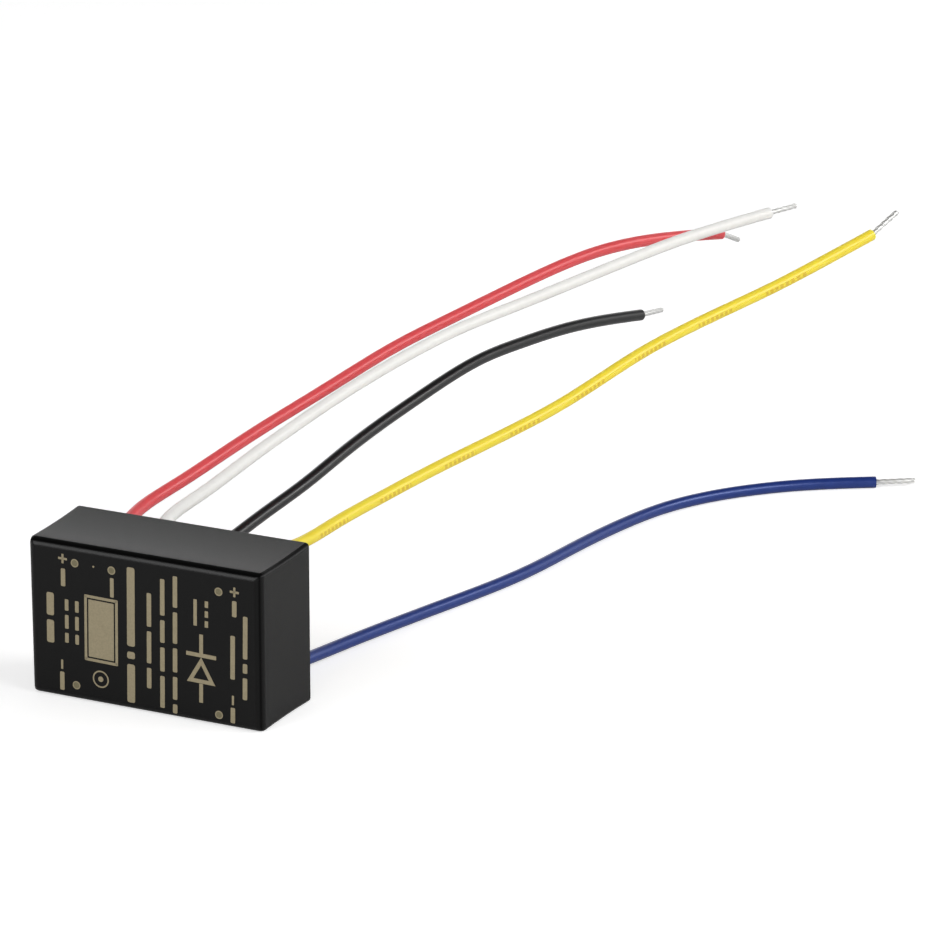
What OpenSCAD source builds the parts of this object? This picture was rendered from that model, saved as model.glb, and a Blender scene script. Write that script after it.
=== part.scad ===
// Potted LED driver: a step-down current source cast in a black moulded case.
// It stands on its long side, the printed face to the front, and five leads leave the open back.

/* [Case] */
// Length of the case at its open rim
case_l = 31.8; // [31:0.1:40]
// Height of the case at its open rim, as it stands on its long side
case_h = 20.3; // [20:0.1:26]
// Depth of the case from the printed face to the rim
case_d = 12.2; // [12:0.1:16]
// Thickness of the four side walls
side_wall = 1; // [0.8:0.05:1.2]
// Thickness of the wall behind the printed face
face_wall = 1.2; // [0.8:0.1:1.6]
// Draft of the side walls, in degrees
draft = 1; // [0.25:0.25:2]
// Rounding of the edges round the printed face
face_edge_r = 1; // [0.6:0.05:1.1]
// Rounding of the four corners that run from the face to the rim
corner_r = 0.55; // [0.4:0.05:0.7]
// Rounding of the four corners of the flat printed face
face_corner_r = 0.3; // [0.2:0.05:0.4]
// Rounding of the corners inside the case
inner_corner_r = 0.4; // [0.2:0.1:0.8]
// Width of the four ribs that carry the board
rib_w = 1.5; // [1.2:0.1:1.8]

/* [Fill] */
// Depth of the cast fill below the rim
fill_recess = 0.5; // [0.4:0.1:1]
// Height to which the fill creeps up the wall and the leads
meniscus_h = 0.3; // [0.1:0.05:0.35]
// Width of that creep
meniscus_w = 0.6; // [0.3:0.1:0.7]

/* [Board] */
// Thickness of the circuit board
board_t = 1; // [0.8:0.1:1.2]
// Depth of fill over the solder side of the board
board_cover = 2.3; // [2:0.1:2.6]
// Clearance between the board and the case wall
board_gap = 0.4; // [0.3:0.05:0.6]
// Distance of the outermost parts from the edge of the board
edge_gap = 0.8; // [0.5:0.1:1]
// Least distance between parts on the board
part_gap = 0.6; // [0.4:0.1:0.7]

/* [Leads] */
// Outside diameter of the insulation
lead_d = 1.6; // [1.2:0.1:1.8]
// Diameter of the stranded conductor
conductor_d = 0.76; // [0.5:0.02:0.8]
// Length of the stripped and tinned end
bare_l = 5.5; // [3:0.5:8]
// Straight length of a lead outside the fill
lead_straight = 1.5; // [1.2:0.1:2.5]
// Distance of the two columns of leads from the ends of the case
column_inset = 5.74; // [5.4:0.02:6]
// Distance of the two rows of leads from the long sides of the case
row_inset = 2.53; // [2.5:0.01:2.7]
// Distance of the control lead from the column beside it
control_step = 5.08; // [4:0.02:6]
// Clearance of the conductor in its hole
hole_gap = 0.12; // [0.08:0.02:0.2]
// Radius of the solder on the board
solder_r = 0.9; // [0.7:0.05:1]
// Height of the solder on the board
solder_h = 0.7; // [0.4:0.1:1]

/* [Inductor] */
// Width of the square shield
shield_w = 10; // [9:0.1:10.4]
// Height of the shield
shield_h = 5; // [4:0.1:5.5]
// Rounding of the shield's four corners
shield_corner_r = 0.7; // [0.3:0.1:1]
// Least thickness of the shield's wall
shield_wall = 0.6; // [0.5:0.05:1]
// Gap between the drum's flanges and the shield
air_gap = 0.15; // [0.1:0.05:0.3]
// Thickness of each drum flange
flange_t = 0.9; // [0.6:0.1:1.2]
// Diameter of the drum's hub
hub_d = 3.8; // [3:0.1:4.4]
// Diameter of the magnet wire
wire_d = 0.4; // [0.3:0.05:0.5]
// Width of the two terminal clips
clip_w = 3; // [2:0.1:4]
// Length of a clip's foot under the shield
clip_foot = 1.8; // [1.2:0.1:2.4]
// Thickness of the clips' sheet
clip_t = 0.2; // [0.15:0.05:0.3]

/* [Converter chip] */
// Length of the chip's body along its rows of pins
chip_l = 4.9; // [4.4:0.1:5.2]
// Width of the chip's body
chip_w = 3.9; // [3.5:0.1:4.2]
// Height of the chip's body
chip_h = 1.4; // [1.2:0.1:1.6]
// Reach of the pins from the body
pin_reach = 1; // [0.8:0.1:1.2]
// Distance between neighbouring pins
pin_pitch = 1.27; // [1.1:0.01:1.27]
// Width of a pin
pin_w = 0.42; // [0.3:0.02:0.5]
// Thickness of a pin
pin_t = 0.2; // [0.15:0.05:0.25]

/* [Diode] */
// Length of the diode's body
diode_l = 4.3; // [4:0.1:4.6]
// Width of the diode's body
diode_w = 3.6; // [3:0.1:3.8]
// Height of the diode's body
diode_h = 2; // [1.6:0.1:2.4]
// Width of the diode's tabs
tab_w = 2; // [1.6:0.1:2.4]
// Thickness of the diode's tabs
tab_t = 0.2; // [0.15:0.05:0.3]
// Length of a tab's foot under the body
tab_foot = 1.1; // [0.8:0.1:1.4]

/* [Chip parts] */
// Length, width and height of a ceramic capacitor
capacitor_size = [3.2, 2.5, 1.9];
// Length, width and height of a current sense resistor
sense_size = [3.2, 1.6, 0.6];
// Length, width and height of a control resistor
control_size = [1.6, 0.8, 0.5];
// Length of the metal end of a capacitor or sense resistor
end_l = 0.5; // [0.3:0.05:0.6]
// Length of the metal end of a control resistor
small_end_l = 0.3; // [0.2:0.05:0.4]
// Step from the metal ends down to the ceramic
end_step = 0.05; // [0.02:0.01:0.1]

/* [Hidden] */
$fn = 48;

// Facets of the moulded roundings and of the swept leads
round_steps = 6;
lead_sides = 8;

// Length by which a cutting shape runs past the face that it cuts
overcut = 1;

// The drafted case, seated on its lower side
taper = case_d * tan(draft);
case_mid = case_h / 2;
lean = (case_h - taper - face_edge_r) * sin(draft);
depth_seated = (case_d - face_edge_r) * cos(draft) + face_edge_r + lean;
rim_y = depth_seated / 2;

// Depths inside the case, from the printed face
fill_v = case_d - fill_recess;
board_back_v = fill_v - board_cover;
board_v = board_back_v - board_t;

// Outline of the board
board_l = case_l - 2 * (side_wall + board_gap);
board_h = case_h - 2 * (side_wall + board_gap);

// Conductor, hole and solder
conductor_r = conductor_d / 2;
hole_r = conductor_r + hole_gap;
lead_r = lead_d / 2;

// Places of the leads on the board, red, white, black, yellow and blue
column_x = case_l / 2 - column_inset;
row_z = case_mid - row_inset;
lead_sites = [
    [-column_x, case_mid + row_z],
    [control_step - column_x, case_mid + row_z],
    [-column_x, case_mid - row_z],
    [column_x, case_mid + row_z],
    [column_x, case_mid - row_z]
];

// Parts on the board, from its two ends inwards
capacitor_l = capacitor_size[0];
capacitor_w = capacitor_size[1];
sense_l = sense_size[0];
sense_w = sense_size[1];
control_l = control_size[0];
control_w = control_size[1];
output_x = board_l / 2 - edge_gap - capacitor_w / 2;
input_x = -output_x;
inductor_x = output_x - capacitor_w / 2 - part_gap - shield_w / 2 - clip_t;
inductor_left = inductor_x - shield_w / 2 - clip_t;
chip_x = (input_x + capacitor_w / 2 + inductor_left) / 2;
chip_z = case_mid + part_gap;
diode_z = chip_z - chip_l / 2 - part_gap - diode_w / 2;
sense_z = case_mid + shield_w / 2 + part_gap + sense_w / 2;
control_z = chip_z + chip_l / 2 + part_gap + control_w / 2;

capacitor_sites = [
    [input_x, case_mid + (capacitor_l + part_gap) / 2],
    [input_x, case_mid - (capacitor_l + part_gap) / 2],
    [output_x, case_mid]
];
sense_sites = [
    [inductor_x - (sense_l + part_gap) / 2, sense_z],
    [inductor_x + (sense_l + part_gap) / 2, sense_z]
];
control_sites = [
    [chip_x - (control_l + part_gap) / 2, control_z],
    [chip_x + (control_l + part_gap) / 2, control_z]
];

// Drum core in the shield
bore_r = shield_w / 2 - shield_wall;
drum_r = bore_r - air_gap;
winding_r = drum_r - air_gap;
winding_h = shield_h - 2 * flange_t;
turns = floor(winding_h / wire_d);

// Chip and diode sections
chip_lift = 0.15;
chip_slope = 0.12;
pin_z = chip_lift + chip_h / 2;
pins_per_side = 4;
pin_rest = 0.55;
dimple_d = 0.7;
dimple_depth = 0.1;
diode_slope = 0.2;

// Lead routes: the last point but one ends the insulation, and the last shows the way of the bare end
red_route = [
    [-11.75, 13, 18.25], [-10.25, 20.5, 19.25], [-8.5, 29, 21], [-7, 37.5, 22.5], [-5, 45.5, 24],
    [-2.5, 53.5, 26], [0, 61.5, 28], [3, 69.5, 29.5], [6, 77.5, 31], [9, 85.5, 32.5],
    [12.5, 93.5, 34], [16, 101, 34.5], [19.5, 108.5, 34], [23.5, 116.5, 33], [24, 121.5, 31]
];
white_route = [
    [-7, 11.5, 18.25], [-6, 19.75, 19], [-5, 28.5, 20.75], [-3.5, 37, 22.5], [-1.5, 45, 24.5],
    [1, 52.75, 26.5], [4, 60.5, 28.5], [7, 68.5, 30], [10.5, 76.5, 31], [14.5, 84, 32.5],
    [18.5, 91.5, 34], [22.5, 99, 35.5], [26.5, 106.5, 36.5], [31.5, 114, 37.5], [33, 118.5, 37.5]
];
black_route = [
    [-9.75, 14.75, 5.75], [-9, 22.5, 8], [-8, 30.5, 9.5], [-7, 38.5, 11], [-5.5, 46.5, 12.5],
    [-4.5, 55, 14.5], [-3.5, 63.5, 16], [-2, 71.5, 17.5], [-0.5, 79.5, 19], [1, 87.5, 20],
    [3, 96, 20], [5, 104.5, 20], [7.5, 112.5, 19.5], [10, 120.5, 18.5], [11, 126, 18]
];
yellow_route = [
    [10.75, 13.25, 16.75], [11.75, 20.75, 17.75], [13.5, 29.5, 18.5], [15.5, 38, 19.5], [18, 46, 20.5],
    [20.5, 54, 21.5], [23.5, 62, 23], [26, 70, 25], [28.5, 77.5, 27], [31.5, 85.5, 28.5],
    [35, 93.5, 30], [38.5, 101, 31.5], [42, 108.5, 33.5], [45.5, 116.5, 35.5], [47.5, 121.5, 38]
];
blue_route = [
    [10.75, 16.25, 1.5], [12.25, 24.75, 1.25], [14, 33, 1], [16, 41.5, 0.8], [18.5, 50, 0.8],
    [20.5, 58.5, 0.8], [21.5, 66.5, 0.8], [22.5, 75, 0.8], [24, 83.5, 0.8], [26, 91.5, 0.8],
    [29.5, 98.5, 0.8], [34.5, 105, 0.8], [40.5, 110.5, 0.8], [48, 115, 0.8], [52.5, 118, 0.8]
];

// Outline with rounded corners, counter-clockwise
function rounded_outline(l, h, r) = [
    for (c = [0:3])
        for (s = [0:round_steps])
            let (a = 90 * (c + s / round_steps))
            let (cx = (c == 0 || c == 3) ? l / 2 - r : r - l / 2)
            let (cz = (c < 2) ? h / 2 - r : r - h / 2)
            [cx + r * cos(a), cz + r * sin(a)]
];

// Ring of the drafted case at a depth, set in from its side walls
function case_ring(v, inset, r) =
    let (less = 2 * ((case_d - v) * tan(draft) + inset))
    [for (p = rounded_outline(case_l - less, case_h - less, r)) [p[0], v, case_mid + p[1]]];

// Place in the seated case of a point given by length, depth from the face and height
function seat(p) = [
    p[0],
    rim_y + (p[1] - case_d) * cos(draft) - p[2] * sin(draft),
    (p[1] - case_d) * sin(draft) + p[2] * cos(draft)
];

function unit(v) = v / norm(v);

// Ring of a lead round a point, square to its way
function lead_ring(centre, way) =
    let (side = unit(cross(way, [0, 0, 1])))
    let (top = cross(side, unit(way)))
    [for (k = [0:lead_sides - 1])
        let (a = 360 * (k + 0.5) / lead_sides)
        centre + lead_r * (cos(a) * side + sin(a) * top)];

// All points of a lead: its root on the board, the end of its straight, then its route
function lead_path(site, route) = concat(
    [seat([site[0], board_back_v, site[1]]), seat([site[0], fill_v + lead_straight, site[1]])],
    route
);

// Solid through rings of equal count
module swept(rings) {
    n = len(rings[0]);
    last = len(rings) - 1;
    sides = [
        for (i = [0:last - 1])
            for (j = [0:n - 1])
                let (a = i * n + j)
                let (b = i * n + (j + 1) % n)
                each [[a, b, b + n], [a, b + n, a + n]]
    ];
    first_cap = [for (j = [n - 1:-1:0]) j];
    last_cap = [for (j = [0:n - 1]) last * n + j];
    polyhedron([for (r = rings) each r], concat([first_cap], sides, [last_cap]));
}

// Module frame to the standing frame
module seated() {
    translate([0, rim_y, 0])
        rotate([draft, 0, 0])
            translate([0, -case_d, 0])
                children();
}

// A part on the inner face of the board, its own height toward the printed face
module on_board(site) {
    translate([site[0], board_v, site[1]])
        rotate([90, 0, 0])
            children();
}

// Outside of the moulded case, with the rounding round its face
module case_block() {
    face_rings = [
        for (i = [round_steps:-1:0])
            let (a = 90 * i / round_steps)
            let (turn_in = 1 - cos(a))
            let (r = corner_r + (face_corner_r - corner_r) * turn_in)
            case_ring(face_edge_r * (1 - sin(a)), face_edge_r * turn_in, r)
    ];
    swept(concat(face_rings, [case_ring(case_d, 0, corner_r)]));
}

// Hollow of the case, from its face wall to past the rim
module hollow() {
    swept([
        case_ring(face_wall, side_wall, inner_corner_r),
        case_ring(case_d + overcut, side_wall, inner_corner_r)
    ]);
}

// Ribs in the four corners of the hollow, up to the board
module ribs() {
    rib_x = case_l / 2 - side_wall - rib_w;
    rib_z = case_mid - side_wall - rib_w;
    rib_run = rib_w + side_wall / 2;
    for (mx = [0, 1])
        for (mz = [0, 1])
            translate([0, 0, case_mid])
                mirror([mx, 0, 0])
                    mirror([0, 0, mz])
                        translate([rib_x, face_wall / 2, rib_z])
                            cube([rib_run, board_v - face_wall / 2, rib_run]);
}

module case_shell() {
    difference() {
        case_block();
        hollow();
    }
    ribs();
}

// Block that leaves the creep of the fill along the wall
module creep_cut() {
    swept([
        case_ring(fill_v, side_wall + meniscus_w, inner_corner_r),
        case_ring(fill_v + 2 * meniscus_h, side_wall - meniscus_w, inner_corner_r)
    ]);
}

// Resin up to its surface, with the creep at the wall and a collar on each lead
module resin() {
    intersection() {
        difference() {
            hollow();
            creep_cut();
        }
        translate([-case_l, 0, -case_h])
            cube([2 * case_l, fill_v + meniscus_h, 3 * case_h]);
    }
    for (s = lead_sites)
        translate([s[0], fill_v, s[1]])
            rotate([-90, 0, 0])
                cylinder(h = meniscus_h, r1 = lead_r + meniscus_w, r2 = lead_r + meniscus_h / 4);
}

module board_block() {
    translate([-board_l / 2, board_v, case_mid - board_h / 2])
        cube([board_l, board_t, board_h]);
}

module lead_conductors() {
    for (s = lead_sites)
        on_board(s)
            translate([0, 0, -board_t])
                cylinder(h = board_t + solder_h, r = conductor_r);
}

// Solder in each hole and in a cone on the board
module solder_cones() {
    for (s = lead_sites)
        on_board(s)
            rotate_extrude()
                polygon([
                    [conductor_r, -board_t], [hole_r, -board_t], [hole_r, 0],
                    [solder_r, 0], [hole_r, solder_h], [conductor_r, solder_h]
                ]);
}

module shield_outline() {
    polygon(rounded_outline(shield_w, shield_w, shield_corner_r));
}

module shield_ring() {
    on_board([inductor_x, case_mid])
        translate([0, 0, clip_t])
            linear_extrude(shield_h)
                difference() {
                    shield_outline();
                    circle(bore_r);
                }
}

// Drum core: a hub between two flanges
module drum() {
    on_board([inductor_x, case_mid])
        translate([0, 0, clip_t])
            rotate_extrude()
                polygon([
                    [0, 0], [drum_r, 0], [drum_r, flange_t], [hub_d / 2, flange_t],
                    [hub_d / 2, shield_h - flange_t], [drum_r, shield_h - flange_t],
                    [drum_r, shield_h], [0, shield_h]
                ]);
}

// Winding that fills the drum, its outer layer ridged by the turns
module winding() {
    pitch = winding_h / turns;
    ridge = [
        for (i = [0:turns - 1])
            each [[winding_r - wire_d / 2, i * pitch], [winding_r, (i + 0.5) * pitch]]
    ];
    profile = concat([[hub_d / 2, 0]], ridge, [[winding_r - wire_d / 2, winding_h], [hub_d / 2, winding_h]]);
    on_board([inductor_x, case_mid])
        translate([0, 0, clip_t + flange_t])
            rotate_extrude()
                polygon(profile);
}

// Sheet clips under two sides of the shield, turned up along it
module clips() {
    on_board([inductor_x, case_mid])
        for (turn = [0, 180])
            rotate([0, 0, turn])
                translate([shield_w / 2, clip_w / 2, 0])
                    rotate([90, 0, 0])
                        linear_extrude(clip_w)
                            polygon([
                                [-clip_foot, 0], [clip_t, 0], [clip_t, shield_h / 2],
                                [0, shield_h / 2], [0, clip_t], [-clip_foot, clip_t]
                            ]);
}

// Room of the closed inductor in the fill
module inductor_room() {
    on_board([inductor_x, case_mid])
        linear_extrude(clip_t + shield_h)
            shield_outline();
}

// Chip body with sloped flanks and an upright band at its pins
module chip_body() {
    band = pin_t / 2;
    top = chip_lift + chip_h;
    half = chip_w / 2;
    on_board([chip_x, chip_z])
        difference() {
            translate([0, chip_l / 2, 0])
                rotate([90, 0, 0])
                    linear_extrude(chip_l)
                        polygon([
                            [chip_slope - half, chip_lift], [half - chip_slope, chip_lift],
                            [half, pin_z - band], [half, pin_z + band], [half - chip_slope, top],
                            [chip_slope - half, top], [-half, pin_z + band], [-half, pin_z - band]
                        ]);
            translate([-chip_w / 4, chip_l / 4, top - dimple_depth])
                cylinder(h = dimple_depth + overcut, d = dimple_d);
        }
}

// Gull-wing pins in two rows
module gull_pins() {
    top = pin_z + pin_t / 2;
    knee = pin_reach - pin_rest;
    profile = [
        [0, top - pin_t], [knee - pin_t, top - pin_t], [knee - pin_t, 0], [pin_reach, 0],
        [pin_reach, pin_t], [knee, pin_t], [knee, top], [0, top]
    ];
    on_board([chip_x, chip_z])
        for (turn = [0, 180])
            rotate([0, 0, turn])
                for (i = [0:pins_per_side - 1])
                    translate([chip_w / 2, (i - (pins_per_side - 1) / 2) * pin_pitch + pin_w / 2, 0])
                        rotate([90, 0, 0])
                            linear_extrude(pin_w)
                                polygon(profile);
}

module diode_body() {
    half = diode_l / 2;
    on_board([chip_x, diode_z])
        translate([0, diode_w / 2, tab_t])
            rotate([90, 0, 0])
                linear_extrude(diode_w)
                    polygon([
                        [-half, 0], [half, 0], [half, diode_h / 2], [half - diode_slope, diode_h],
                        [diode_slope - half, diode_h], [-half, diode_h / 2]
                    ]);
}

// Tabs bent down at both ends of the diode and folded under it
module bent_tabs() {
    on_board([chip_x, diode_z])
        for (turn = [0, 180])
            rotate([0, 0, turn])
                translate([diode_l / 2, tab_w / 2, 0])
                    rotate([90, 0, 0])
                        linear_extrude(tab_w)
                            polygon([
                                [-tab_foot, 0], [tab_t, 0], [tab_t, diode_h / 2],
                                [0, diode_h / 2], [0, tab_t], [-tab_foot, tab_t]
                            ]);
}

// Ceramic of a chip part, lying along X
module chip_ceramic(size, end) {
    l = size[0] - 2 * end;
    w = size[1] - 2 * end_step;
    h = size[2] - 2 * end_step;
    translate([-l / 2, -w / 2, end_step])
        cube([l, w, h]);
}

// Metal ends of a chip part, lying along X
module chip_ends(size, end) {
    for (x = [-size[0] / 2, size[0] / 2 - end])
        translate([x, -size[1] / 2, 0])
            cube([end, size[1], size[2]]);
}

module capacitor_ceramics() {
    for (s = capacitor_sites)
        on_board(s)
            rotate([0, 0, 90])
                chip_ceramic(capacitor_size, end_l);
}

module capacitor_metal() {
    for (s = capacitor_sites)
        on_board(s)
            rotate([0, 0, 90])
                chip_ends(capacitor_size, end_l);
}

module resistor_ceramics() {
    for (s = sense_sites)
        on_board(s)
            chip_ceramic(sense_size, end_l);
    for (s = control_sites)
        on_board(s)
            chip_ceramic(control_size, small_end_l);
}

module resistor_metal() {
    for (s = sense_sites)
        on_board(s)
            chip_ends(sense_size, end_l);
    for (s = control_sites)
        on_board(s)
            chip_ends(control_size, small_end_l);
}

// Insulated lead, from the board to the end of its insulation
module lead(site, route) {
    path = lead_path(site, route);
    last = len(path) - 2;
    rings = [
        for (i = [0:last])
            let (from = path[(i == last) ? i : max(i - 1, 0)])
            lead_ring(path[i], path[i + 1] - from)
    ];
    swept(rings);
}

// Bare end of a lead, square on the end of its insulation
module tip(route) {
    last = len(route) - 1;
    way = unit(route[last] - route[last - 1]);
    translate(route[last - 1])
        rotate([0, acos(way[2]), atan2(way[1], way[0])])
            cylinder(h = bare_l, r = conductor_r);
}

module case() {
    color("#2a2a2a")
        seated()
            case_shell();
}

module fill() {
    color("#161616")
        difference() {
            seated()
                difference() {
                    resin();
                    ribs();
                    board_block();
                    lead_conductors();
                    solder_cones();
                    inductor_room();
                    clips();
                    chip_body();
                    gull_pins();
                    diode_body();
                    bent_tabs();
                    capacitor_ceramics();
                    capacitor_metal();
                    resistor_ceramics();
                    resistor_metal();
                }
            red_lead();
            white_lead();
            black_lead();
            yellow_lead();
            blue_lead();
        }
}

module board() {
    color("#2f6b3a")
        seated()
            difference() {
                board_block();
                for (s = lead_sites)
                    on_board(s)
                        translate([0, 0, -board_t - overcut])
                            cylinder(h = board_t + 2 * overcut, r = hole_r);
            }
}

module soldered_ends() {
    color("#c9a06a")
        seated()
            lead_conductors();
}

module solder_joints() {
    color("#c4c6c8")
        seated()
            solder_cones();
}

module inductor_core() {
    color("#4b4b4e")
        seated()
            drum();
}

module inductor_winding() {
    color("#b8692f")
        seated()
            winding();
}

module inductor_shield() {
    color("#3a3a3d")
        seated()
            shield_ring();
}

module inductor_terminals() {
    color("#c4c6c8")
        seated()
            clips();
}

module converter_chip() {
    color("#232426")
        seated()
            chip_body();
}

module chip_pins() {
    color("#c4c6c8")
        seated()
            gull_pins();
}

module diode() {
    color("#26272a")
        seated()
            diode_body();
}

module diode_tabs() {
    color("#c4c6c8")
        seated()
            bent_tabs();
}

module capacitors() {
    color("#b79a72")
        seated()
            capacitor_ceramics();
}

module capacitor_ends() {
    color("#c4c6c8")
        seated()
            capacitor_metal();
}

module resistors() {
    color("#1f2124")
        seated()
            resistor_ceramics();
}

module resistor_ends() {
    color("#c4c6c8")
        seated()
            resistor_metal();
}

module red_lead() {
    color("#d8444c")
        lead(lead_sites[0], red_route);
}

module white_lead() {
    color("#f0f0ee")
        lead(lead_sites[1], white_route);
}

module black_lead() {
    color("#2b2c2e")
        lead(lead_sites[2], black_route);
}

module yellow_lead() {
    color("#efdb45")
        lead(lead_sites[3], yellow_route);
}

module blue_lead() {
    color("#3d55a5")
        lead(lead_sites[4], blue_route);
}

module red_tip() {
    color("#c4c6c8")
        tip(red_route);
}

module white_tip() {
    color("#c4c6c8")
        tip(white_route);
}

module black_tip() {
    color("#c4c6c8")
        tip(black_route);
}

module yellow_tip() {
    color("#c4c6c8")
        tip(yellow_route);
}

module blue_tip() {
    color("#c4c6c8")
        tip(blue_route);
}

case();
fill();
board();
soldered_ends();
solder_joints();
inductor_core();
inductor_winding();
inductor_shield();
inductor_terminals();
converter_chip();
chip_pins();
diode();
diode_tabs();
capacitors();
capacitor_ends();
resistors();
resistor_ends();
red_lead();
white_lead();
black_lead();
yellow_lead();
blue_lead();
red_tip();
white_tip();
black_tip();
yellow_tip();
blue_tip();
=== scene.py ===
"""Looks of a potted LED driver: a black moulded case full of resin, and five insulated leads."""

import math

import bmesh
import bpy
from mathutils import Matrix, Vector


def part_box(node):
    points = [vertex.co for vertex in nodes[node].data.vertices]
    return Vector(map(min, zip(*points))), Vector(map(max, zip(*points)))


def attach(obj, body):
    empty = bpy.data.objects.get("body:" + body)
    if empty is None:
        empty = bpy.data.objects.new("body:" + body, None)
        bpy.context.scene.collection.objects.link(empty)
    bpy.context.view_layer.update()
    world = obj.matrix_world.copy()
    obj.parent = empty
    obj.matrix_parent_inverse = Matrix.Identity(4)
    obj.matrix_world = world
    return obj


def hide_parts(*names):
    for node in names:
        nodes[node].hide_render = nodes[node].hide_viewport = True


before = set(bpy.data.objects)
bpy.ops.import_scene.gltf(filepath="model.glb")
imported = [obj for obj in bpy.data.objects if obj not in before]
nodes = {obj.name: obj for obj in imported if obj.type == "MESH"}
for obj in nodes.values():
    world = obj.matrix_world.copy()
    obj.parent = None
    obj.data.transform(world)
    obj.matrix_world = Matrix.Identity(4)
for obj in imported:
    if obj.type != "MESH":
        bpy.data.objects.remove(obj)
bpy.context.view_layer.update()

MM = 0.001

# Sizes in millimetres, as in the part's source
CASE_L, CASE_D, CASE_H = 31.8, 12.2, 20.3
SIDE_WALL, FACE_WALL = 1.0, 1.2
DRAFT = math.radians(1)
FACE_EDGE_R, CORNER_R, INNER_CORNER_R, RIM_R = 1.0, 0.55, 0.4, 0.18
FILL_V, BOARD_BACK_V = 11.7, 9.4
MENISCUS_W = 0.6
LEAD_D, LEAD_STRAIGHT = 1.6, 1.5
BARE_L, CONDUCTOR_D = 5.5, 0.76
COLUMN_X, ROW_INSET, CONTROL_STEP = 10.16, 2.53, 5.08

TAPER = CASE_D * math.tan(DRAFT)
CASE_MID = CASE_H / 2
LEAD_R = LEAD_D / 2
ROW_TOP = CASE_H - ROW_INSET

# Finer shapes that only the looks have, in millimetres
# Sink of the long walls in their middle, and the number of steps that it is drawn in
SINK, SINK_STEPS = 0.12, 24
# Creep of the resin from the wall inwards, as steps of width and drop, and the border of its middle
CREEP = ((0.06, 0.1), (0.1, 0.09), (0.16, 0.07), (0.28, 0.04))
FLAT_BORDER = 0.12
# Points that the creep brings this close in the corners become one
CORNER_MERGE = 0.15
COLLAR_SUNK = 0.02
# Bare end: strands laid round a straight one, the length of a turn, and the start inside the lead
STRANDS, STRANDS_ACROSS, STRAND_LAY = 6, 3, 7.0
TIP_SUNK, CORE_SHORT, CORE_EDGE = 0.3, 0.1, 0.03
# Radius of a strand and of the tinned core, in strand radii: the tin makes both a little fuller
STRAND_FULL, CORE_FULL = 1.06, 2.75

# Steps in which round shapes are drawn
CASE_EDGE_STEPS, RESIN_CORNER_STEPS, MARK_CORNER_STEPS, CORE_EDGE_STEPS = 6, 5, 4, 2
ROUND_SIDES, STRAND_SIDES, LAY_STEPS = 32, 12, 48

# A point this near a plane lies on it, and a way with this much of an axis runs along it
NEAR, ALONG = 0.01, 0.9
# The middle face of the resin has its middle within this distance of the axis
MIDDLE = 1

# From the case's own frame, with its depth counted from the printed face, to the standing frame
RIM_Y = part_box("case")[1].y
SEAT = (
    Matrix.Translation((0, RIM_Y, 0))
    @ Matrix.Rotation(DRAFT, 4, "X")
    @ Matrix.Translation((0, -CASE_D * MM, 0))
)


def mm(*lengths):
    """Millimetres as metres."""
    return tuple(length * MM for length in lengths)


# Camera at the photograph's place: millimetres, and degrees downwards, round and rolled
CAMERA_AT = (242.32, -436.67, 190.29)
CAMERA_DOWN, CAMERA_ROUND, CAMERA_ROLL = 17.909, 24.931, 0.6

camera_data = bpy.data.cameras.new("camera")
camera_data.lens = 170
camera_data.sensor_width = 36
camera_data.clip_start = 0.01
camera_data.clip_end = 20
camera = bpy.data.objects.new("camera", camera_data)
camera.location = mm(*CAMERA_AT)
camera.rotation_euler = (math.radians(90 - CAMERA_DOWN), 0, math.radians(CAMERA_ROUND))
camera.rotation_euler.rotate_axis("Z", math.radians(CAMERA_ROLL))
bpy.context.scene.collection.objects.link(camera)
bpy.context.scene.camera = camera

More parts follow.
